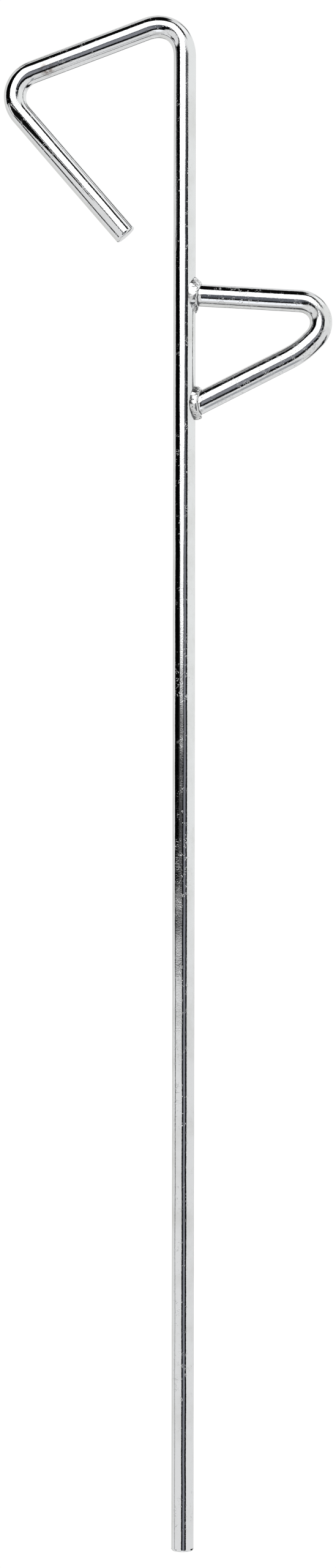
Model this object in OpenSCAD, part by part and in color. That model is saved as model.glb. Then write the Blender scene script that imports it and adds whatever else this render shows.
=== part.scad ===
// Round-bar tent stake: one bent rod with an open triangular hook at the top,
// and a bent foot step welded to its side. The tip stands on the origin and
// the stake rises along +Z. Both bent rods lie in the plane Y = 0, the foot
// step reaches towards +X and the hook towards -X.

/* [Rod] */
// Diameter of the round bar that both bent pieces are made of
rod_d = 9.5; // [8:0.1:11]
// Overall height, from the tip to the top of the first bend
stake_h = 655.5; // [600:0.5:720]
// Chamfer left on the sheared ends of the bar
end_chamfer = 0.4; // [0.2:0.1:1]

/* [Hook] */
// Radius of the hook's two bends, to the middle of the bar
hook_bend_r = 11.5; // [9:0.5:13]
// Slope of the top run below the horizontal, in degrees
hook_slope = 20.9; // [10:0.1:24]
// Straight length of the top run
hook_run = 53.2; // [50:0.1:60]
// Slope of the return leg below the horizontal, in degrees
return_slope = 49; // [46:0.1:56]
// Straight length of the return leg, up to its sheared end
return_run = 68.6; // [55:0.1:72]

/* [Foot step] */
// Height at which the upper leg's centre line meets the shaft's axis
step_z = 536; // [500:1:560]
// Length of the upper leg, from the shaft's axis to the start of its bend
step_run = 49.6; // [40:0.1:60]
// Radius of the nose bend, to the middle of the bar
nose_r = 9.3; // [8:0.1:12]
// Radius of the gentle bend that eases the nose into the lower leg
ease_r = 52; // [40:1:70]
// Angle that the gentle bend takes up, in degrees
ease_turn = 18.5; // [10:0.5:24]
// Slope of the upper leg below the horizontal, in degrees
upper_slope = 3.2; // [0:0.1:6]
// Slope of the lower leg above the horizontal, in degrees
lower_slope = 26.8; // [22:0.1:32]

/* [Welds] */
// Gap between the shaft and the foot step's cut ends, which weld metal fills
root_gap = 0.2; // [0.1:0.1:0.5]
// Reach of a bead along the shaft, above and below its leg's centre line
bead_reach = 7; // [6:0.1:8]
// Distance from the shaft's axis at which a bead runs out on its leg
bead_run_out = 6.3; // [5.8:0.1:7]
// Radius of the bead's rounded edge
bead_edge_r = 0.9; // [0.6:0.1:1.2]

/* [Hidden] */

ROUND_FACES = 64;
BEAD_FACES = 16;
// Blobs of weld metal round each toe of a bead
BEAD_BLOBS = 12;
// Angle round the shaft at which a bead's toe runs out, from straight ahead
TOE_ANGLE = 64;
// Height by which the middle of each blob stands off the bar under it
TOE_LIFT = 0.2;
// The bar upsets and grows all round where it is bent, by this much in a tight
// bend and by this much in a gentle one
BEND_SWELL = 0.1;
EASE_SWELL = 0.05;
// Length by which a run reaches into the bend beside it
LAP = 0.4;

rod_r = rod_d / 2;
// Top of the straight shaft, where the first bend starts
shaft_top = stake_h - rod_r - BEND_SWELL - hook_bend_r;
// The bar turns from straight up to the top run, and then to the return leg
top_turn = 90 + hook_slope;
return_turn = 180 - hook_slope - return_slope;
// The foot step turns back from its upper leg, tightly and then gently
nose_turn = 180 - upper_slope - lower_slope - ease_turn;
// Slope of the bar where the tight bend hands over to the gentle one
mid_slope = lower_slope + ease_turn;
// Distance from the shaft's axis, and height, at which the lower leg starts
lower_start_x = step_run * cos(upper_slope)
    + nose_r * (sin(mid_slope) - sin(upper_slope))
    - ease_r * (sin(mid_slope) - sin(lower_slope));
lower_start_z = step_z - step_run * sin(upper_slope)
    - nose_r * (cos(upper_slope) + cos(mid_slope))
    - ease_r * (cos(lower_slope) - cos(mid_slope));
// Height at which the lower leg's centre line meets the shaft's axis
lower_z = lower_start_z - lower_start_x * tan(lower_slope);

// One bend of the bar in the plane Y = 0, starting upwards at the origin and
// turning towards -X. Its start may reach back by a lap length.
module bend(radius, turn, swell, lap) {
    lap_turn = lap / radius * 180 / PI;
    translate([-radius, 0, 0])
        rotate([90, 0, 0])
            rotate([0, 0, -lap_turn])
                rotate_extrude(angle = turn + lap_turn, $fn = ROUND_FACES)
                    translate([radius, 0])
                        circle(r = rod_r + swell);
}

// Moves its children to the end of that bend, with +Z along the bar.
module after_bend(radius, turn) {
    translate([-radius, 0, 0])
        rotate([0, -turn, 0])
            translate([radius, 0, 0])
                children();
}

// A straight run of the bar up from the origin, lapped into a bend at each end.
module run(length) {
    translate([0, 0, -LAP])
        cylinder(r = rod_r, h = length + 2 * LAP, $fn = ROUND_FACES);
}

// A straight run out of a bend that finishes in a sheared, chamfered end.
module sheared_run(length) {
    rotate_extrude($fn = ROUND_FACES)
        polygon([
            [0, -LAP],
            [rod_r, -LAP],
            [rod_r, length - end_chamfer],
            [rod_r - end_chamfer, length],
            [0, length]
        ]);
}

// The loop of the foot step, with its two ends cut flush beside the shaft.
module step_bar() {
    difference() {
        translate([0, 0, step_z])
            rotate([0, 90 + upper_slope, 0])
                rotate([0, 0, 180]) {
                    run(step_run);
                    translate([0, 0, step_run]) {
                        bend(nose_r, nose_turn, BEND_SWELL, 0);
                        after_bend(nose_r, nose_turn) {
                            bend(ease_r, ease_turn, EASE_SWELL, LAP);
                            after_bend(ease_r, ease_turn)
                                run(lower_start_x / cos(lower_slope));
                        }
                    }
                }
        translate([-4 * rod_d, -rod_d, lower_z - 2 * rod_d])
            cube([4 * rod_d + rod_r + root_gap, 2 * rod_d, step_z - lower_z + 4 * rod_d]);
    }
}

// Weld metal round one leg of the foot step. Blobs of metal follow one closed
// line on the shaft and one round the leg, and the bead is the skin over them.
// rise is the leg's slope above the horizontal.
module bead(height, rise) {
    difference() {
        hull() {
            for (turn = [0 : 360 / BEAD_BLOBS : 359]) {
                translate([0, 0, height])
                    rotate([0, 0, TOE_ANGLE * cos(turn)])
                        translate([rod_r + TOE_LIFT, 0, bead_reach * sin(turn)])
                            sphere(r = bead_edge_r, $fn = BEAD_FACES);
                translate([0, 0, height])
                    rotate([0, -rise, 0])
                        translate([bead_run_out, 0, 0])
                            rotate([turn, 0, 0])
                                translate([0, rod_r + TOE_LIFT, 0])
                                    sphere(r = bead_edge_r, $fn = BEAD_FACES);
            }
        }
        translate([0, 0, height - 3 * rod_d])
            run(6 * rod_d);
        step_bar();
    }
}

module stake_rod() {
    color("silver")
        translate([0, 0, shaft_top]) {
            mirror([0, 0, 1])
                sheared_run(shaft_top);
            bend(hook_bend_r, top_turn, BEND_SWELL, 0);
            after_bend(hook_bend_r, top_turn) {
                run(hook_run);
                translate([0, 0, hook_run]) {
                    bend(hook_bend_r, return_turn, BEND_SWELL, 0);
                    after_bend(hook_bend_r, return_turn)
                        sheared_run(return_run);
                }
            }
        }
}

module foot_step() {
    color("silver")
        step_bar();
}

module upper_weld() {
    color("gainsboro")
        bead(step_z, -upper_slope);
}

module lower_weld() {
    color("gainsboro")
        bead(lower_z, lower_slope);
}

stake_rod();
foot_step();
upper_weld();
lower_weld();
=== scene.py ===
# %% [markdown]
# # A tent stake with a foot step
#
# The real object is a long ground stake bent from one bright plated steel bar, with an open triangular
# hook at its head. A second piece of the same bar is bent into a step for the foot and joined to the
# shaft by two welds. This notebook builds those four pieces, gives them a plated finish, and puts them
# in a white photo studio. The engineered model is loaded first, and every size here agrees with it.

import math

import bpy
import numpy as np
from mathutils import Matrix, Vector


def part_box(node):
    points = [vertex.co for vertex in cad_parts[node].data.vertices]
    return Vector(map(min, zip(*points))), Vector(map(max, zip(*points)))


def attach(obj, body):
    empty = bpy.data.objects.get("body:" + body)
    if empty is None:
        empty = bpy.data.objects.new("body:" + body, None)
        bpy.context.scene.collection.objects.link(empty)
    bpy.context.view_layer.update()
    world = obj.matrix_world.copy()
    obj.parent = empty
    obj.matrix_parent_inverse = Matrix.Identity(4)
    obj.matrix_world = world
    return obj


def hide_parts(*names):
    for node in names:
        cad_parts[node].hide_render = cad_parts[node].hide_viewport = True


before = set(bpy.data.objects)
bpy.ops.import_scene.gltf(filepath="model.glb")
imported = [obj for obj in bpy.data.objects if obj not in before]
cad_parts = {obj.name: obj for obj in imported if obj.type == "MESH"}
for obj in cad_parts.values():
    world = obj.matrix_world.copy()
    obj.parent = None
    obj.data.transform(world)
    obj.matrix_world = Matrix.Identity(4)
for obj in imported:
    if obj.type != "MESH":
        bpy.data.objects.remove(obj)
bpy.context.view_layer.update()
print("engineered pieces:", sorted(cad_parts))

# %% [markdown]
# ## The sizes that drive everything
#
# Wire and bar workers describe a bent bar as a list: so much straight, then so much turn, then straight
# again. Only the bar's thickness and that list are needed, so the numbers are kept here, in millimetres
# and degrees. A bend's third number, its peak, says how much tighter its middle is than its ends. The
# shaft's foot and the top of the hook are read from the engineered model, so the stake can't drift away
# from it.

# %% Bar thickness and the bending lists
MM = 0.001
NOMINAL_R = 4.75 * MM
ROD_R = (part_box("stake_rod")[1].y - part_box("stake_rod")[0].y) / 2
ROD_R = min(ROD_R, NOMINAL_R)
TIP_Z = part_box("stake_rod")[0].z
HOOK_TOP_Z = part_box("stake_rod")[1].z

# The hook: bends are (length along the bar in mm, turn in degrees, peak), and runs are in mm.
HOOK_BEND = (24.4, 110.8, 0.27)
HOOK_RUN = 51.95
CORNER_BEND = (22.0, 110.1, 0.07)
RETURN_RUN = 68.3

# The step: its upper leg meets the shaft's axis at STEP_Z and falls by STEP_FALL degrees. Its cut ends
# lie at ROOT_X, just inside the shaft's skin.
STEP_Z = 536.4 * MM
STEP_FALL = 3.15
STEP_RUN = 49.4
NOSE_BEND = (21.75, -130.5, 0.08)
EASE_BEND = (15.8, -19.45, 0.5)
ROOT_X = 4.0 * MM
print("bar radius in mm:", round(ROD_R / MM, 3), "hook top in mm:", round(HOOK_TOP_Z / MM, 2))

# %% [markdown]
# ## Following the bar
#
# A bend made round a former turns evenly, but steel springs back a little at both ends of the bend, so
# its middle is tighter. A curve object could follow the bar, but it gives little say over that. Here the
# heading is worked out along the length and then added up, which gives the centre line of any bend.

# %% The centre line from a list of straights and bends
RING_GAP = 1.2 * MM
BEND_FINENESS = 3
UPWARD = 90


def bar_line(start, heading, steps):
    """Centre line in the X-Z plane for steps of (length mm, turn degrees, peak).

    Along one step the heading is heading0 + turn * (u - peak * sin(2 pi u) / (2 pi)), with u from 0 to 1,
    so peak 0 is an even bend. Position is the running sum of (cos, sin) of the heading times the step.
    Returns the points, the headings in radians and the length run so far.
    """
    points, headings, lengths = [], [], []
    here, turned, run = np.array(start, float), heading, 0.0
    for length, turn, peak in steps:
        count = max(2, int(round(length * MM / RING_GAP)))
        if turn:
            count = count * BEND_FINENESS
        u = np.linspace(0, 1, count + 1)
        angle = np.radians(turned + turn * (u - peak * np.sin(2 * np.pi * u) / (2 * np.pi)))
        along = np.stack([np.cos(angle), np.sin(angle)], 1)
        gap = length * MM / count
        moved = np.vstack([np.zeros((1, 2)), np.cumsum((along[1:] + along[:-1]) / 2 * gap, 0)])
        skip = 1 if points else 0
        points.append((here + moved)[skip:])
        headings.append(angle[skip:])
        lengths.append((run + u * length * MM)[skip:])
        here = here + moved[-1]
        turned += turn
        run += length * MM
    return np.concatenate(points), np.concatenate(headings), np.concatenate(lengths)


bend_only = bar_line((0, 0), UPWARD, [HOOK_BEND])[0]
SHAFT_RUN = (HOOK_TOP_Z - TIP_Z - ROD_R - bend_only[:, 1].max()) / MM
print("straight shaft in mm:", round(SHAFT_RUN, 2))

# %% [markdown]
# ## Skinning the bar
#
# A round ring of points is set square to the centre line at every step, and the rings are joined. The
# bar's own coordinates, as if it had never been bent, are stored on each point as well. The drawing
# lines and specks of the finish then follow the bar round its bends, which plain space coordinates
# can't do. Real drawn bar is never a perfect cylinder, so the radius waves by a hundredth or two of a
# millimetre, which is enough to make long reflections wander a little.

# %% Rings, end faces and the mesh
SIDES = 80
CHAMFER = 0.45 * MM
WAVE_SIZE = 0.05 * MM
WAVE_LENGTHS = (14, 70)
WAVE_TURNS = (1, 2, 2, 3, 3, 4, 5)


def waviness(length, angle, seed, size):
    """The radius added by random waves, at most size.

    It is the sum of sin(2 pi length / wave + phase) * cos(turns * angle + phase) over WAVE_TURNS, times
    size and divided by the number of waves.
    """
    rng = np.random.default_rng(seed)
    total = np.zeros(np.broadcast(length, angle).shape)
    for turns in WAVE_TURNS:
        wave = rng.uniform(*WAVE_LENGTHS) * MM
        phase = rng.uniform(0, 2 * np.pi, 2)
        total = total + np.sin(2 * np.pi * length / wave + phase[0]) * np.cos(turns * angle + phase[1])
    return total * size / len(WAVE_TURNS)


def ring_points(points, headings, radii, angles):
    """Ring points: centre + radius * (cos a * side + sin a * front), side square to the heading."""
    side = np.stack([-np.sin(headings), np.zeros_like(headings), np.cos(headings)], 1)
    front = np.array([0.0, -1.0, 0.0])
    centre = np.stack([points[:, 0], np.zeros(len(points)), points[:, 1]], 1)
    out = np.cos(angles)[None, :, None] * side[:, None, :] + np.sin(angles)[None, :, None] * front
    return centre[:, None, :] + radii[..., None] * out


def grid_faces(rows, columns, wrap_rows=False):
    """Quads of a grid whose point number is row * columns + column.

    The grid closes on itself across its columns, and along its rows if wrap_rows.
    """
    r = np.arange(rows if wrap_rows else rows - 1)[:, None]
    c = np.arange(columns)[None, :]
    a = r * columns + c
    b = r * columns + (c + 1) % columns
    d = ((r + 1) % rows) * columns + c
    e = ((r + 1) % rows) * columns + (c + 1) % columns
    return np.stack([a, b, e, d], -1).reshape(-1, 4)


def put_mesh(name, verts, quads, fans, straight):
    """A mesh object at the origin from arrays, smooth shaded, with the unbent place on each point."""
    mesh = bpy.data.meshes.new(name)
    mesh.from_pydata(verts.tolist(), [], quads.tolist() + fans.tolist())
    mesh.attributes.new("unbent_place", "FLOAT_VECTOR", "POINT")
    mesh.attributes["unbent_place"].data.foreach_set("vector", straight.astype(np.float32).ravel())
    mesh.polygons.foreach_set("use_smooth", np.ones(len(mesh.polygons), bool))
    mesh.validate()
    piece = bpy.data.objects.new(name, mesh)
    bpy.context.scene.collection.objects.link(piece)
    print(name, "triangles:", 2 * len(quads) + len(fans))
    return piece


# %% [markdown]
# ## Ends of the bar
#
# The tip and the end of the hook are plain sawn faces with the corner just broken by the plating. Each
# end is a short run of smaller rings and a middle point. The step's ends are cut on a slant so that they
# lie along the shaft, as a fitter would cut them before welding.

# %% A bar with finished ends
END_SHARE = np.array([1.0, 0.93, 0.86, 0.80, 0.55, 0.28])
CORNER_SHARE = 0.80
END_RINGS = len(END_SHARE)
SAW_DEPTH = 0.05 * MM
TINY = 1e-9


def end_rings(point, heading, outward):
    """Rings of one sawn end: full radius, the broken corner, then inward over a slightly rough face.

    Down to CORNER_SHARE the radius is lessened by (1 - share) / (1 - CORNER_SHARE) of the chamfer, and
    from there on it is share * ROD_R. Each ring is set back from the end by its drop.
    """
    drop = np.array([CHAMFER, 0.62 * CHAMFER, 0.25 * CHAMFER, 0.0, SAW_DEPTH, 0.5 * SAW_DEPTH])
    on_corner = END_SHARE >= CORNER_SHARE
    lessened = (1 - END_SHARE) * np.where(on_corner, CHAMFER / (1 - CORNER_SHARE), ROD_R)
    forward = np.array([math.cos(heading), math.sin(heading)]) * outward
    return point - drop[:, None] * forward, np.full(END_RINGS, heading), ROD_R - lessened


def skin_bar(name, line, seed, slant_x=None):
    """The closed skin of a bar along line; with slant_x both ends are moved along the bar to that X.

    A point of an end ring moves by (slant_x - its X) / cos(heading) along the bar.
    """
    points, headings, lengths = line
    angles = np.linspace(0, 2 * np.pi, SIDES, endpoint=False)
    if slant_x is None:
        first = end_rings(points[0], headings[0], -1)
        last = end_rings(points[-1], headings[-1], 1)
        points = np.vstack([first[0][::-1], points[1:-1], last[0]])
        headings = np.concatenate([first[1], headings[1:-1], last[1]])
        radii = np.concatenate([first[2][::-1], np.full(len(lengths) - 2, ROD_R), last[2]])
        start_lengths = np.full(END_RINGS, lengths[0])
        last_lengths = np.full(END_RINGS, lengths[-1])
        lengths = np.concatenate([start_lengths, lengths[1:-1], last_lengths])
    else:
        radii = np.full(len(lengths), ROD_R)
    whole = radii >= ROD_R - TINY
    wave = waviness(lengths[:, None], angles[None, :], seed, WAVE_SIZE) * whole[:, None]
    verts = ring_points(points, headings, radii[:, None] + wave, angles)
    if slant_x is not None:
        for end in (0, -1):
            forward = np.array([math.cos(headings[end]), 0.0, math.sin(headings[end])])
            verts[end] += (slant_x - verts[end][:, :1]) / forward[0] * forward
    rows = len(points)
    straight = np.stack(
        [
            np.broadcast_to(np.cos(angles) * ROD_R, (rows, SIDES)),
            np.broadcast_to(np.sin(angles) * ROD_R, (rows, SIDES)),
            np.broadcast_to(lengths[:, None], (rows, SIDES)),
        ],
        -1,
    )
    middles = np.stack([verts[0].mean(0), verts[-1].mean(0)])
    all_verts = np.vstack([verts.reshape(-1, 3), middles])
    middle_places = np.array([[0, 0, lengths[0]], [0, 0, lengths[-1]]])
    all_straight = np.vstack([straight.reshape(-1, 3), middle_places])
    k = np.arange(SIDES)
    n = rows * SIDES
    start_fan = np.stack([(k + 1) % SIDES, k, np.full(SIDES, n)], 1)
    far = n - SIDES
    end_fan = np.stack([far + k, far + (k + 1) % SIDES, np.full(SIDES, n + 1)], 1)
    return put_mesh(name, all_verts, grid_faces(rows, SIDES), np.vstack([start_fan, end_fan]), all_straight)


# %% [markdown]
# ## The stake rod
#
# One bar makes the whole stake: the long shaft, the bend at its head, the run down to the outer corner,
# the corner, and the leg that comes back and stops short of the shaft. It replaces the plain engineered
# solid, and follows the same sizes.

# %% Build the stake rod
ROD_SEED = 3
rod_steps = [
    (SHAFT_RUN, 0, 0),
    HOOK_BEND,
    (HOOK_RUN, 0, 0),
    CORNER_BEND,
    (RETURN_RUN, 0, 0),
]
rod_line = bar_line((0, TIP_Z), UPWARD, rod_steps)
stake_rod = skin_bar("stake_rod_bar", rod_line, seed=ROD_SEED)
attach(stake_rod, "root")
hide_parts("stake_rod")
print("hook end at mm:", np.round(rod_line[0][-1] / MM, 2))
print("bar length in mm:", round(rod_line[2][-1] / MM, 1))

# %% [markdown]
# ## The foot step
#
# The step is a shorter piece of the same bar, with one tight nose and one gentle easing bend that lets
# its lower leg run back to the shaft. Both ends are cut to lie along the shaft. The lower leg is made as
# long as it needs to be to reach that cut, worked out from its heading.

# %% Build the foot step
ROOT_STUB = 3.6
END_GAP = 3.5 * MM
STEP_SEED = 8
step_start = (ROOT_X, STEP_Z - ROOT_X * math.tan(math.radians(STEP_FALL)))
first_run = STEP_RUN - ROOT_X / MM / math.cos(math.radians(STEP_FALL))
to_ease = [(ROOT_STUB, 0, 0), (first_run - ROOT_STUB, 0, 0), NOSE_BEND, EASE_BEND]
nose_line = bar_line(step_start, -STEP_FALL, to_ease)
last_heading = nose_line[1][-1]
lower_run = (ROOT_X - nose_line[0][-1, 0]) / math.cos(last_heading) / MM
lower_leg = [(lower_run - ROOT_STUB, 0, 0), (ROOT_STUB, 0, 0)]
step_line = bar_line(step_start, -STEP_FALL, to_ease + lower_leg)


def without_near_ends(line, gap):
    """Drops the rings nearer than gap to either end, so that a slanted end face crosses none of them."""
    run = line[2]
    keep = (run > gap) & (run < run[-1] - gap)
    keep[0] = keep[-1] = True
    return tuple(part[keep] for part in line)


step_line = without_near_ends(step_line, END_GAP)
foot_step = skin_bar("foot_step_bar", step_line, seed=STEP_SEED, slant_x=ROOT_X)
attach(foot_step, "root")
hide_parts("foot_step")
print("step reach in mm:", round((step_line[0][:, 0].max() + ROD_R) / MM, 2))
print("lower leg meets the shaft at mm:", np.round(step_line[0][-1] / MM, 2))

# %% [markdown]
# ## The weld beads
#
# Each end of the step is welded to the shaft by a bead that runs all round it. The bead is a bent
# sausage: one closed loop where it meets the shaft, one where it meets the step, and a bulged section
# between them, with its inner half sunk in the steel. Weld metal sets in small overlapping waves, so
# ripples and uneven lumps are added to the outer half. A plain fillet would look cast, not welded.

# %% The bead as a surface of two angles
BEAD_ROUND = 288
BEAD_ACROSS = 88
BEAD_SUNK = 1.5 * MM
TOE_OVERLAP = 0.12 * MM
WOBBLE_ROUNDS = (2, 3, 5, 7, 9, 12)
LUMP_WAVES = ((3, 1), (5, -1), (8, 2), (11, -2), (15, 1), (19, 3), (24, -3), (31, 2))
ONE_TURN = 6.28
WOBBLE_SIZES = (0.05, 0.16)
WRAP_WOBBLE = 0.06
HEIGHT_WOBBLE = 0.5
LEG_WOBBLE = 0.45
BULGE_WOBBLE = 0.25
LUMP_SIZES = (0.02, 0.06)
RIPPLES = 15
RIPPLE_SIZE = 0.03
BEAD_LEAN = 0.5
QUIET_SHARE = 0.25


def bead_surface(crossing_z, leg_angle, shaft_toe, leg_toe, bulge, seed):
    """Verts of a closed bead, from v round the step's end and u round the bead's own section.

    The shaft loop is on the shaft at azimuth wrap * sin v and height rise * cos v + lift. The leg loop is
    on the step at axis X = a + b cos v + c cos v ^ 2. Between them the section is an ellipse as wide as
    their gap, whose inner half is BEAD_SUNK deep and whose outer half is as high as the bulge: low at
    v = 180 degrees, front at 90 and high at 0. It leans towards the step by the factor
    1 + BEAD_LEAN * cos u. The ripples and random lumps on it, in mm, fade to QUIET_SHARE at the front and
    the back.
    """
    wrap, rise, lift = shaft_toe
    v = np.linspace(0, 2 * np.pi, BEAD_ROUND, endpoint=False)[:, None]
    u = np.linspace(0, 2 * np.pi, BEAD_ACROSS, endpoint=False)[None, :]
    rng = np.random.default_rng(seed)
    wobble = sum(
        rng.uniform(*WOBBLE_SIZES) * np.sin(k * v + rng.uniform(0, ONE_TURN)) for k in WOBBLE_ROUNDS
    )
    azimuth = np.radians(wrap) * np.sin(v) * (1 + WRAP_WOBBLE * wobble)
    height = crossing_z + (lift + rise * np.cos(v) + HEIGHT_WOBBLE * wobble) * MM
    shaft_out = np.concatenate([np.cos(azimuth), -np.sin(azimuth), 0 * v], 1)
    shaft_loop = shaft_out * ROD_R
    shaft_loop[:, 2:] = height
    tilt = math.radians(leg_angle)
    leg_reach = leg_toe[0] + leg_toe[1] * np.cos(v) + leg_toe[2] * np.cos(v) ** 2
    leg_x = (leg_reach + LEG_WOBBLE * wobble[::-1]) * MM
    leg_out = np.concatenate([-math.sin(tilt) * np.cos(v), -np.sin(v), math.cos(tilt) * np.cos(v)], 1)
    leg_loop = leg_out * ROD_R
    leg_loop[:, :1] += leg_x
    leg_loop[:, 2:] += crossing_z + (leg_x - ROD_R) * math.tan(tilt)
    across = leg_loop - shaft_loop
    wide = np.linalg.norm(across, axis=1, keepdims=True)
    across = across / wide
    out = shaft_out + leg_out
    out -= across * np.sum(out * across, 1, keepdims=True)
    out /= np.linalg.norm(out, axis=1, keepdims=True)
    low, front, high = bulge
    above = np.clip(np.cos(v), 0, 1)
    below = np.clip(-np.cos(v), 0, 1)
    tall = (front + (high - front) * above + (low - front) * below) * MM
    outer = np.clip(np.sin(u), 0, 1)
    ripple = RIPPLE_SIZE * np.sin(RIPPLES * v + 2.4 * np.cos(u) ** 2 + 9 * wobble) * outer
    lumps = sum(
        rng.uniform(*LUMP_SIZES) * np.sin(m * v + n * u + rng.uniform(0, ONE_TURN)) for m, n in LUMP_WAVES
    )
    reach = np.where(np.sin(u) > 0, tall * (1 + BULGE_WOBBLE * wobble), BEAD_SUNK)
    rough_part = QUIET_SHARE + (1 - QUIET_SHARE) * np.abs(np.cos(v)) ** 1.5
    bulged = reach * np.sin(u) * (1 + BEAD_LEAN * np.cos(u))
    section_out = bulged + (ripple + lumps * outer**0.5) * rough_part * MM
    section_across = (wide / 2 + TOE_OVERLAP) * np.cos(u)
    middle = (leg_loop + shaft_loop) / 2
    moved_across = section_across[..., None] * across[:, None, :]
    moved_out = section_out[..., None] * out[:, None, :]
    return middle[:, None, :] + moved_across + moved_out


def build_bead(name, node, verts):
    """The bead's mesh, closed both ways, riding with the stake and standing for its engineered node."""
    flat = verts.reshape(-1, 3)
    quads = grid_faces(BEAD_ROUND, BEAD_ACROSS, wrap_rows=True)[:, ::-1]
    bead = put_mesh(name, flat, quads, np.zeros((0, 3), int), flat)
    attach(bead, "root")
    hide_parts(node)
    return bead


# %% Build both beads
# A shaft toe is (wrap in degrees, rise in mm, lift in mm), a leg toe is (a, b, c) in mm, and a bulge is
# (low, front, high) in mm.
UPPER_TOES = (74, 7.7, 0.0), (5.5, 0.6, 1.1)
UPPER_BULGE = (0.5, 0.93, 0.35)
UPPER_SEED = 11
LOWER_TOES = (63, 7.15, 1.15), (5.7, 2.25, 1.45)
LOWER_BULGE = (1.2, 0.93, 0.4)
LOWER_SEED = 27
upper_z = STEP_Z - ROD_R * math.tan(math.radians(STEP_FALL))
lower_z = step_line[0][-1, 1] + (ROD_R - ROOT_X) * math.tan(last_heading)
lower_angle = math.degrees(last_heading) + 180
upper_verts = bead_surface(upper_z, -STEP_FALL, *UPPER_TOES, UPPER_BULGE, UPPER_SEED)
lower_verts = bead_surface(lower_z, lower_angle, *LOWER_TOES, LOWER_BULGE, LOWER_SEED)
upper_weld = build_bead("upper_weld_bead", "upper_weld", upper_verts)
lower_weld = build_bead("lower_weld_bead", "lower_weld", lower_verts)
print("weld crossings in mm:", round(upper_z / MM, 2), round(lower_z / MM, 2))


# %% [markdown]
# ## Effects that the finishes share
#
# Bright plating over drawn bar shows three things up close: fine lines along the bar from the drawing
# die, small pits and specks where the plating is uneven, and slow clouds of duller metal. Each is a
# node group, so that the bar and the welds use the same effect with their own sizes.

# %% A helper for node groups
def new_group(name, inputs, outputs):
    """An empty shader group; inputs are (name, kind, value) and outputs (name, kind)."""
    group = bpy.data.node_groups.new(name, "ShaderNodeTree")
    for label, kind, value in inputs:
        socket = group.interface.new_socket(label, in_out="INPUT", socket_type=kind)
        if value is not None:
            socket.default_value = value
    for label, kind in outputs:
        group.interface.new_socket(label, in_out="OUTPUT", socket_type=kind)
    return group, group.nodes.new("NodeGroupInput"), group.nodes.new("NodeGroupOutput")


def maths(tree, what, a, b=None, c=None):
    """A Math node; a, b and c are sockets or numbers, and MULTIPLY_ADD gives a * b + c."""
    node = tree.nodes.new("ShaderNodeMath")
    node.operation = what
    for slot, value in zip(node.inputs, (a, b, c)):
        if isinstance(value, bpy.types.NodeSocket):
            tree.links.new(value, slot)
        elif value is not None:
            slot.default_value = value
    return node.outputs[0]


def fade(tree, value, low, high, to_low=0.0, to_high=1.0):
    """A smooth step: value from low to high becomes to_low to to_high."""
    node = tree.nodes.new("ShaderNodeMapRange")
    node.interpolation_type = "SMOOTHSTEP"
    for slot, given in zip(node.inputs, (value, low, high, to_low, to_high)):
        if isinstance(given, bpy.types.NodeSocket):
            tree.links.new(given, slot)
        else:
            slot.default_value = given
    return node.outputs[0]


def blend(tree, under, over, share):
    """The colour under * (1 - share) + over * share; each is a socket or a value."""
    node = tree.nodes.new("ShaderNodeMix")
    node.data_type = "RGBA"
    for label, given in (("A", under), ("B", over), ("Factor", share)):
        if isinstance(given, bpy.types.NodeSocket):
            tree.links.new(given, node.inputs[label])
        else:
            node.inputs[label].default_value = given
    return node.outputs["Result"]


def noise(tree, vector, scale, detail=2.0, rough=0.5):
    """The value of a noise texture, with scale as features in a metre."""
    node = tree.nodes.new("ShaderNodeTexNoise")
    node.inputs["Detail"].default_value = detail
    node.inputs["Roughness"].default_value = rough
    tree.links.new(vector, node.inputs["Vector"])
    if isinstance(scale, bpy.types.NodeSocket):
        tree.links.new(scale, node.inputs["Scale"])
    else:
        node.inputs["Scale"].default_value = scale
    return node.outputs[0]


# %% [markdown]
# ### Drawing lines
#
# The die leaves long fine lines. Noise that is squeezed along the bar makes them: its coordinates are
# multiplied by a small number in the length direction, so each grain is stretched into a line.

# %% The drawing-line group
VECTOR, FLOAT, COLOR = "NodeSocketVector", "NodeSocketFloat", "NodeSocketColor"

lines_group, g_in, g_out = new_group(
    "drawing_lines",
    [("Place", VECTOR, None), ("Lines per Metre", FLOAT, 900.0), ("Stretch", VECTOR, (1.0, 1.0, 0.03))],
    [("Height", FLOAT)],
)
squeeze = lines_group.nodes.new("ShaderNodeVectorMath")
squeeze.operation = "MULTIPLY"
lines_group.links.new(g_in.outputs["Place"], squeeze.inputs[0])
lines_group.links.new(g_in.outputs["Stretch"], squeeze.inputs[1])
line_height = noise(lines_group, squeeze.outputs[0], g_in.outputs["Lines per Metre"], 3.0, 0.6)
lines_group.links.new(line_height, g_out.inputs["Height"])

# %% [markdown]
# ### Specks and pits
#
# The plating is grainy: sharp little dimples, thick in some stretches and almost absent in others. Cell
# texture gives the dimples, and a slow noise says where they gather. The finishes also paint the
# dimples dark, as painted shade in the pits.

# %% The speck group
CHOOSER_PER_METRE = 420.0
CHOSEN_ABOVE = 0.56
PATCHES_PER_METRE = 45.0
PIT_HEIGHT = -2.6
GRAIN_HEIGHT = 0.9
speck_group, g_in, g_out = new_group(
    "plating_specks",
    [("Place", VECTOR, None), ("Specks per Metre", FLOAT, 1300.0), ("Gathering", FLOAT, 0.5)],
    [("Mask", FLOAT), ("Height", FLOAT)],
)
cells = speck_group.nodes.new("ShaderNodeTexVoronoi")
speck_group.links.new(g_in.outputs["Place"], cells.inputs["Vector"])
speck_group.links.new(g_in.outputs["Specks per Metre"], cells.inputs["Scale"])
dimple = fade(speck_group, cells.outputs["Distance"], 0.12, 0.42, 1.0, 0.0)
chooser = noise(speck_group, g_in.outputs["Place"], CHOOSER_PER_METRE)
chosen = maths(speck_group, "GREATER_THAN", chooser, CHOSEN_ABOVE)
patches = noise(speck_group, g_in.outputs["Place"], PATCHES_PER_METRE, 3.0)
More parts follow.
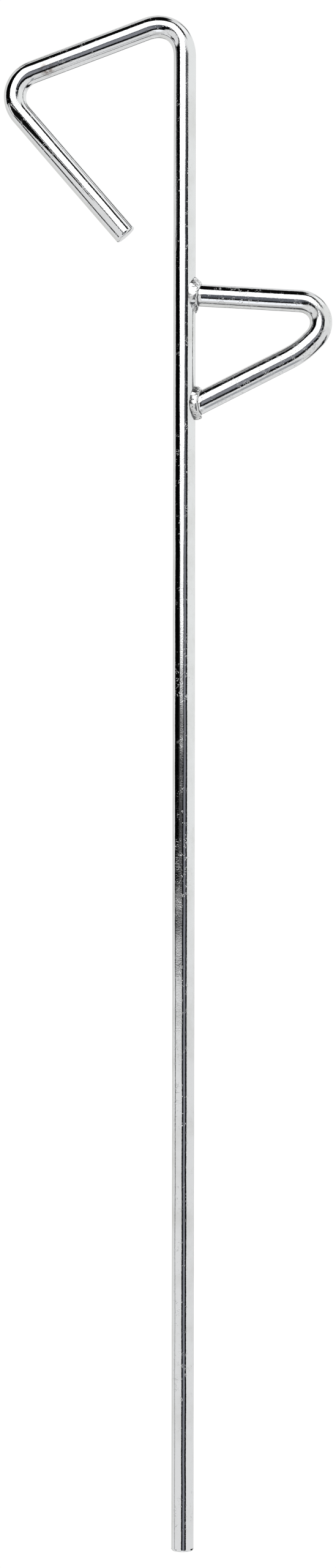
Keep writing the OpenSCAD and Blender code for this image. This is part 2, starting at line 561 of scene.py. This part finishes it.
gathered = maths(speck_group, "ADD", patches, g_in.outputs["Gathering"])
thick = fade(speck_group, gathered, 0.9, 1.1)
picked = maths(speck_group, "MULTIPLY", maths(speck_group, "MULTIPLY", dimple, chosen), thick)
grain = noise(speck_group, g_in.outputs["Place"], g_in.outputs["Specks per Metre"], 2.0, 0.7)
speck_group.links.new(picked, g_out.inputs["Mask"])
grain_height = maths(speck_group, "MULTIPLY", grain, GRAIN_HEIGHT)
height = maths(speck_group, "MULTIPLY_ADD", picked, PIT_HEIGHT, grain_height)
speck_group.links.new(height, g_out.inputs["Height"])

# %% [markdown]
# ### Clouds of duller metal
#
# Plating takes hold of fingers, damp and old rust below. A slow noise gives clouds that are a touch
# rougher and warmer, and a narrower band of the same noise gives the few brown stains.

# %% The cloud group
MOTTLE_PER_METRE = 700.0
cloud_group, g_in, g_out = new_group(
    "dull_clouds",
    [("Place", VECTOR, None), ("Clouds per Metre", FLOAT, 60.0)],
    [("Clouds", FLOAT), ("Stain", FLOAT)],
)
slow = noise(cloud_group, g_in.outputs["Place"], g_in.outputs["Clouds per Metre"], 4.0, 0.6)
fine = noise(cloud_group, g_in.outputs["Place"], MOTTLE_PER_METRE, 2.0, 0.6)
cloud_group.links.new(fade(cloud_group, slow, 0.42, 0.72), g_out.inputs["Clouds"])
stained_cloud = fade(cloud_group, slow, 0.70, 0.80)
mottled = fade(cloud_group, fine, 0.42, 0.6)
stain = maths(cloud_group, "MULTIPLY", stained_cloud, mottled)
cloud_group.links.new(stain, g_out.inputs["Stain"])


# %% [markdown]
# ## The plated finishes
#
# All three finishes are bare metal to Blender: fully metallic, pale, and smooth enough for sharp
# reflections. Both bars read their unbent coordinates so that the lines run with them, and the welds read
# plain object coordinates, because weld metal has no direction. Brightness, roughness and the small
# relief all vary over the surface. Real plating gives back only two thirds of the light, and the studio
# is painted brighter to make up for it, so metal that is seen in metal is darkened here by hand. One old
# brown stain sits at the hook's outer bend.

# %% Make the three plated materials
BRIGHT = (0.93, 0.94, 0.95, 1)
DULL = (0.84, 0.845, 0.84, 1)
BROWN = (0.33, 0.22, 0.15, 1)
BROWN_SHARE = 0.55
STAIN_AT = (-58.8 * MM, -4.5 * MM, 631.6 * MM)
STAIN_CORE = 0.5 * MM
STAIN_END = 4.4 * MM
STAIN_COLOUR = (0.13, 0.055, 0.025, 1)
STAIN_SHARE = 0.85
STAIN_PATCHES_PER_METRE = 520.0
# Painted shade: the specks are painted towards this black, standing in for the shade inside the pits.
PIT_SHADE_COLOUR = (0.02, 0.02, 0.02, 1)
SECOND_BOUNCE = (0.12, 0.12, 0.125, 1)
SECOND_SHARE = 0.85
CLOUD_ROUGHNESS = 0.05
SPECK_ROUGHNESS = 0.22
BAR_LINES = 0.5
WELD_LINES = 0.1


def plated_finish(name, follows_bar, specks_per_metre, gathering, relief, dull, pit_shade):
    """A metal of clouds, specks and lines.

    Its roughness is dull + CLOUD_ROUGHNESS * clouds + SPECK_ROUGHNESS * specks. The more gathering, the
    more of the surface has specks. The relief is the bump's depth in metres, and the last argument says
    how black the specks are painted, from 0 to 1: painted shade in the pits.
    """
    made = bpy.data.materials.new(name)
    made.use_nodes = True
    tree = made.node_tree
    tree.nodes.clear()
    out = tree.nodes.new("ShaderNodeOutputMaterial")
    metal = tree.nodes.new("ShaderNodeBsdfPrincipled")
    tree.links.new(metal.outputs[0], out.inputs[0])
    if follows_bar:
        source = tree.nodes.new("ShaderNodeAttribute")
        source.attribute_name = "unbent_place"
        place = source.outputs["Vector"]
    else:
        place = tree.nodes.new("ShaderNodeTexCoord").outputs["Object"]
    used = {}
    for group in (lines_group, speck_group, cloud_group):
        node = tree.nodes.new("ShaderNodeGroup")
        node.node_tree = group
        tree.links.new(place, node.inputs["Place"])
        used[group.name] = node
    used["plating_specks"].inputs["Specks per Metre"].default_value = specks_per_metre
    used["plating_specks"].inputs["Gathering"].default_value = gathering
    clouds = used["dull_clouds"].outputs["Clouds"]
    specks = used["plating_specks"].outputs["Mask"]

    colour = blend(tree, BRIGHT, DULL, clouds)
    brown_share = maths(tree, "MULTIPLY", used["dull_clouds"].outputs["Stain"], BROWN_SHARE)
    colour = blend(tree, colour, BROWN, brown_share)
    away = tree.nodes.new("ShaderNodeVectorMath")
    away.operation = "DISTANCE"
    tree.links.new(tree.nodes.new("ShaderNodeTexCoord").outputs["Object"], away.inputs[0])
    away.inputs[1].default_value = STAIN_AT
    near = fade(tree, away.outputs["Value"], STAIN_CORE, STAIN_END, STAIN_SHARE, 0.0)
    patchy = fade(tree, noise(tree, place, STAIN_PATCHES_PER_METRE, 3.0, 0.65), 0.40, 0.62)
    colour = blend(tree, colour, STAIN_COLOUR, maths(tree, "MULTIPLY", near, patchy))
    # Painted shade: the specks are darkened towards black, standing in for the shade inside the pits.
    colour = blend(tree, colour, PIT_SHADE_COLOUR, maths(tree, "MULTIPLY", specks, pit_shade))
    bounced = tree.nodes.new("ShaderNodeLightPath").outputs["Is Glossy Ray"]
    colour = blend(tree, colour, SECOND_BOUNCE, maths(tree, "MULTIPLY", bounced, SECOND_SHARE))
    tree.links.new(colour, metal.inputs["Base Color"])

    rough = maths(tree, "MULTIPLY_ADD", clouds, CLOUD_ROUGHNESS, dull)
    rough = maths(tree, "MULTIPLY_ADD", specks, SPECK_ROUGHNESS, rough)
    tree.links.new(rough, metal.inputs["Roughness"])
    metal.inputs["Metallic"].default_value = 1.0

    line_share = BAR_LINES if follows_bar else WELD_LINES
    lines = maths(tree, "MULTIPLY", used["drawing_lines"].outputs["Height"], line_share)
    height = maths(tree, "ADD", used["plating_specks"].outputs["Height"], lines)
    bump = tree.nodes.new("ShaderNodeBump")
    bump.inputs["Strength"].default_value = 1.0
    bump.inputs["Distance"].default_value = relief
    tree.links.new(height, bump.inputs["Height"])
    tree.links.new(bump.outputs[0], metal.inputs["Normal"])
    print(name, "nodes:", len(tree.nodes))
    return made


bar_finish = plated_finish(
    "plated_bar",
    follows_bar=True,
    specks_per_metre=1900.0,
    gathering=0.50,
    relief=0.014 * MM,
    dull=0.03,
    pit_shade=0.0,
)
step_finish = plated_finish(
    "plated_step",
    follows_bar=True,
    specks_per_metre=2200.0,
    gathering=0.58,
    relief=0.021 * MM,
    dull=0.03,
    pit_shade=0.45,
)
weld_finish = plated_finish(
    "plated_weld",
    follows_bar=False,
    specks_per_metre=1100.0,
    gathering=1.20,
    relief=0.03 * MM,
    dull=0.20,
    pit_shade=0.97,
)
stake_rod.data.materials.append(bar_finish)
foot_step.data.materials.append(step_finish)
for piece in (upper_weld, lower_weld):
    piece.data.materials.append(weld_finish)

# %% [markdown]
# ## The studio
#
# Chrome shows nothing but its surroundings, so the studio is the real colour of this object. The world is
# painted as a studio seen from the stake: a large soft box in front to the left, black flags beside and
# above it, a dark camera stand in the middle, and pale walls. Each patch is a smooth box in azimuth and
# elevation, painted over the ones before it. Azimuth 0 is towards the camera and grows to the right.
# Lamps and cards would do the same, but patches are easier to place by angle. The camera itself sees
# plain white.

# %% The patch group and the list of patches
patch_group, g_in, g_out = new_group(
    "studio_patch",
    [
        ("Azimuth", FLOAT, 0.0),
        ("Elevation", FLOAT, 0.0),
        ("Left", FLOAT, 0.0),
        ("Right", FLOAT, 0.0),
        ("Bottom", FLOAT, 0.0),
        ("Top", FLOAT, 0.0),
        ("Side Blur", FLOAT, 1.0),
        ("End Blur", FLOAT, 1.0),
    ],
    [("Mask", FLOAT)],
)


def soft_edge(value, edge, blur, rising):
    """1 inside the edge and 0 outside, smooth over twice the blur."""
    low = maths(patch_group, "SUBTRACT", edge, blur)
    high = maths(patch_group, "ADD", edge, blur)
    if rising:
        return fade(patch_group, value, low, high, 0.0, 1.0)
    return fade(patch_group, value, low, high, 1.0, 0.0)


sides = maths(
    patch_group,
    "MULTIPLY",
    soft_edge(g_in.outputs["Azimuth"], g_in.outputs["Left"], g_in.outputs["Side Blur"], True),
    soft_edge(g_in.outputs["Azimuth"], g_in.outputs["Right"], g_in.outputs["Side Blur"], False),
)
ends = maths(
    patch_group,
    "MULTIPLY",
    soft_edge(g_in.outputs["Elevation"], g_in.outputs["Bottom"], g_in.outputs["End Blur"], True),
    soft_edge(g_in.outputs["Elevation"], g_in.outputs["Top"], g_in.outputs["End Blur"], False),
)
patch_group.links.new(maths(patch_group, "MULTIPLY", sides, ends), g_out.inputs["Mask"])

# The soft box is brighter than a screen can show, which is 255.
SOFT_BOX = (305, 305, 305)
# Each patch is left, right, bottom and top in degrees, side blur, end blur, and its colour of 255.
STUDIO = [
    # the floor and the side walls
    (-400, 400, -95, -70, 1, 8, (190, 190, 190)),
    (-400, -118, -95, 38, 3, 4, (208, 208, 206)),
    (33, 150, -3, 38, 3, 3, (225, 226, 225)),
    # a lit piece of floor in front, then things that stand about and beams overhead
    (-14, 14, -62, -41, 6, 4, (246, 248, 252)),
    (50, 96, -62, -50, 8, 4, (150, 152, 156)),
    (-86, -69, -38, -25, 3, 3, (50, 50, 50)),
    (-152, -130, 45, 62, 4, 4, (66, 66, 66)),
    (56, 118, 40, 62, 3, 4, (243, 243, 243)),
    (121, 141, 34, 54, 4, 5, (70, 70, 70)),
    (150, 190, 16, 34, 4, 4, (248, 248, 248)),
    # a low shelf behind, in two parts because azimuth starts again at 180, and what stands beside it
    (163, 400, -27, -15, 4, 3, (84, 84, 84)),
    (-400, -163, -27, -15, 4, 3, (84, 84, 84)),
    (98, 146, -34, -17, 3, 3, (18, 18, 20)),
    (-96, -86, -9, -1, 1.5, 2, (60, 60, 60)),
    (-96, -86, -26, -8, 1.5, 2, (158, 158, 158)),
    # the dark ceiling and the black flag on the left
    (-400, 400, 72, 95, 1, 4, (12, 12, 12)),
    (-116, -80, 62, 95, 5, 5, (40, 40, 40)),
    (-104, 0, -2.9, 60, 1.5, 0.6, (3, 3, 3)),
    (-50, -10, -2.8, 4, 5, 0.8, (62, 62, 62)),
    # the camera stand, with its grey plates
    (-15.2, 35.5, -41, 14.5, 1, 3.5, (6, 6, 8)),
    (-2.0, 20, -26, 14.5, 2, 3, (97, 100, 107)),
    (5, 18, -24, 14.5, 2, 3, (127, 128, 134)),
    (5, 20, 5.0, 14.5, 2, 2, (64, 66, 70)),
    # a flag on the right, the soft box in steps, and the flag above it
    (28, 54, 30, 62, 3, 3, (24, 24, 24)),
    (-50.5, 4, 8, 70, 1.5, 2.5, SOFT_BOX),
    (-6, 9, 12.4, 17, 1.5, 0.8, SOFT_BOX),
    (-44.5, -2, 5, 20, 1.5, 1.5, SOFT_BOX),
    (-39, -8, 2.4, 10, 3, 1.6, SOFT_BOX),
    (-6, 13, 15.5, 60, 1.2, 1.2, SOFT_BOX),
    (8, 23, 20, 60, 1.5, 2, SOFT_BOX),
    (18, 32, 26, 60, 1.5, 2, SOFT_BOX),
    (-100, 45, 53.5, 95, 8, 3, (7, 7, 7)),
]
print("studio patches:", len(STUDIO))


# %% Paint the world
def light_of(grey):
    """The light that shows as that grey of 255 on a screen.

    It is ((share + 0.055) / 1.055) ^ 2.4, the standard screen curve, with its straight part near black.
    Above 255 it is the share squared.
    """
    share = grey / 255
    if share > 1:
        return share**2
    return ((share + 0.055) / 1.055) ** 2.4 if share > 0.04 else share / 12.92


def metal_light(greys):
    """The colour that makes metal, which gives back METAL_SHARE of the light, show those greys."""
    return (*[light_of(grey) / METAL_SHARE for grey in greys], 1)


WALL = (216, 216, 216)
METAL_SHARE = 0.93
BACKDROP = 1.02
world = bpy.data.worlds.new("studio")
bpy.context.scene.world = world
world.use_nodes = True
sky = world.node_tree
sky.nodes.clear()
towards = sky.nodes.new("ShaderNodeSeparateXYZ")
sky.links.new(sky.nodes.new("ShaderNodeTexCoord").outputs["Generated"], towards.inputs[0])
backwards = maths(sky, "MULTIPLY", towards.outputs["Y"], -1.0)
azimuth = maths(sky, "DEGREES", maths(sky, "ARCTAN2", towards.outputs["X"], backwards))
elevation = maths(sky, "DEGREES", maths(sky, "ARCSINE", towards.outputs["Z"]))
painted = metal_light(WALL)
for left, right, bottom, top, side_blur, end_blur, grey in STUDIO:
    patch = sky.nodes.new("ShaderNodeGroup")
    patch.node_tree = patch_group
    sky.links.new(azimuth, patch.inputs["Azimuth"])
    sky.links.new(elevation, patch.inputs["Elevation"])
    for label, value in zip(
        ("Left", "Right", "Bottom", "Top", "Side Blur", "End Blur"),
        (left, right, bottom, top, side_blur, end_blur),
    ):
        patch.inputs[label].default_value = value
    painted = blend(sky, painted, metal_light(grey), patch.outputs["Mask"])

studio_light = sky.nodes.new("ShaderNodeBackground")
sky.links.new(painted, studio_light.inputs["Color"])
white_backdrop = sky.nodes.new("ShaderNodeBackground")
white_backdrop.inputs["Color"].default_value = (1, 1, 1, 1)
white_backdrop.inputs["Strength"].default_value = BACKDROP
ray = sky.nodes.new("ShaderNodeLightPath")
choose = sky.nodes.new("ShaderNodeMixShader")
sky.links.new(ray.outputs["Is Camera Ray"], choose.inputs["Fac"])
sky.links.new(studio_light.outputs[0], choose.inputs[1])
sky.links.new(white_backdrop.outputs[0], choose.inputs[2])
sky.links.new(choose.outputs[0], sky.nodes.new("ShaderNodeOutputWorld").inputs[0])

# %% [markdown]
# ### The floor
#
# The stake stands on its tip on a plain white floor that runs into the white backdrop. The floor glows
# evenly, so that no join shows, and the metal's reflections leave it out, because the painted studio
# already has a floor in it.

# %% Lay the floor
FLOOR_HALF = 30.0
FLOOR_Z = TIP_Z - 0.5 * MM
floor_mesh = bpy.data.meshes.new("floor")
corners = [(FLOOR_HALF * x, FLOOR_HALF * y, FLOOR_Z) for x, y in ((-1, -1), (1, -1), (1, 1), (-1, 1))]
floor_mesh.from_pydata(corners, [], [(0, 1, 2, 3)])
floor = bpy.data.objects.new("floor", floor_mesh)
bpy.context.scene.collection.objects.link(floor)
floor_paint = bpy.data.materials.new("white_floor")
floor_paint.use_nodes = True
floor_paint.node_tree.nodes.clear()
glow = floor_paint.node_tree.nodes.new("ShaderNodeEmission")
glow.inputs["Strength"].default_value = BACKDROP
floor_out = floor_paint.node_tree.nodes.new("ShaderNodeOutputMaterial")
floor_paint.node_tree.links.new(glow.outputs[0], floor_out.inputs[0])
floor_mesh.materials.append(floor_paint)
floor.visible_glossy = False
floor.visible_diffuse = False
print("floor at mm:", round(FLOOR_Z / MM, 2))

# %% [markdown]
# ### A small black flag
#
# Photographers stand small black cards close to chrome to draw a dark band into one part of it. This one
# stands in front of the hook's outer corner, and the leg that comes back from the corner shows it as a
# dark wedge. The camera and the floor don't see it.

# %% Hang the flag
# The corners go round the card and are in mm.
FLAG_Y = -40.0
FLAG_GLOW = 0.004
FLAG_XZ = [
    (-84, 611),
    (-190, 611),
    (-190, 560),
    (-141, 568),
    (-103, 579),
    (-81, 581),
    (-66, 573),
    (-56, 567),
    (-56, 574),
    (-60, 580),
    (-74, 597),
]
flag_mesh = bpy.data.meshes.new("black_flag")
flag_corners = [(x * MM, FLAG_Y * MM, z * MM) for x, z in FLAG_XZ]
flag_mesh.from_pydata(flag_corners, [], [tuple(range(len(flag_corners)))])
flag = bpy.data.objects.new("black_flag", flag_mesh)
bpy.context.scene.collection.objects.link(flag)
flag_cloth = bpy.data.materials.new("black_cloth")
flag_cloth.use_nodes = True
flag_cloth.node_tree.nodes.clear()
dark = flag_cloth.node_tree.nodes.new("ShaderNodeEmission")
dark.inputs["Strength"].default_value = FLAG_GLOW
flag_out = flag_cloth.node_tree.nodes.new("ShaderNodeOutputMaterial")
flag_cloth.node_tree.links.new(dark.outputs[0], flag_out.inputs[0])
flag_mesh.materials.append(flag_cloth)
flag.visible_camera = False
flag.visible_diffuse = False
flag.visible_shadow = False
print("flag corners:", len(flag_corners))

# %% [markdown]
# ## The camera
#
# The camera stands level with the middle of the stake, a little over one and a third metres away, with
# a long lens so that the rod hardly tapers. The lens is worked out from the height that the frame takes
# in at that distance. It leans a tenth of a degree, as a hand-set tripod does.
#
# The sensor is fitted by its height, so its width changes nothing in this view. Only the other views read
# it, to work out how far away they stand, and they take it to be that of the long side, 36 mm. That would
# put them 6.5 m away, with the stake a fifth as tall as the frame. The width below, which no real sensor
# has, brings them close enough for the stake to fill the frame's height. The price is that a view from
# high above loses the ends of the hook and the step past its sides.

# %% Set the camera
CAMERA_AT = (-6.7 * MM, -1351 * MM, 327.2 * MM)
FRAME_HEIGHT = 670.0 * MM
LEAN = 0.096
SENSOR = 36.0
TALL_TO_WIDE = 2560 / 549
camera_data = bpy.data.cameras.new("studio_camera")
camera_data.sensor_fit = "VERTICAL"
camera_data.sensor_height = SENSOR
camera_data.sensor_width = SENSOR * TALL_TO_WIDE
camera_data.lens = SENSOR * -CAMERA_AT[1] / FRAME_HEIGHT
camera = bpy.data.objects.new("studio_camera", camera_data)
camera.location = CAMERA_AT
camera.rotation_euler = (math.pi / 2, -math.radians(LEAN), 0)
bpy.context.scene.collection.objects.link(camera)
bpy.context.scene.camera = camera
bpy.context.scene.view_settings.view_transform = "Standard"
print("lens in mm:", round(camera_data.lens, 2))
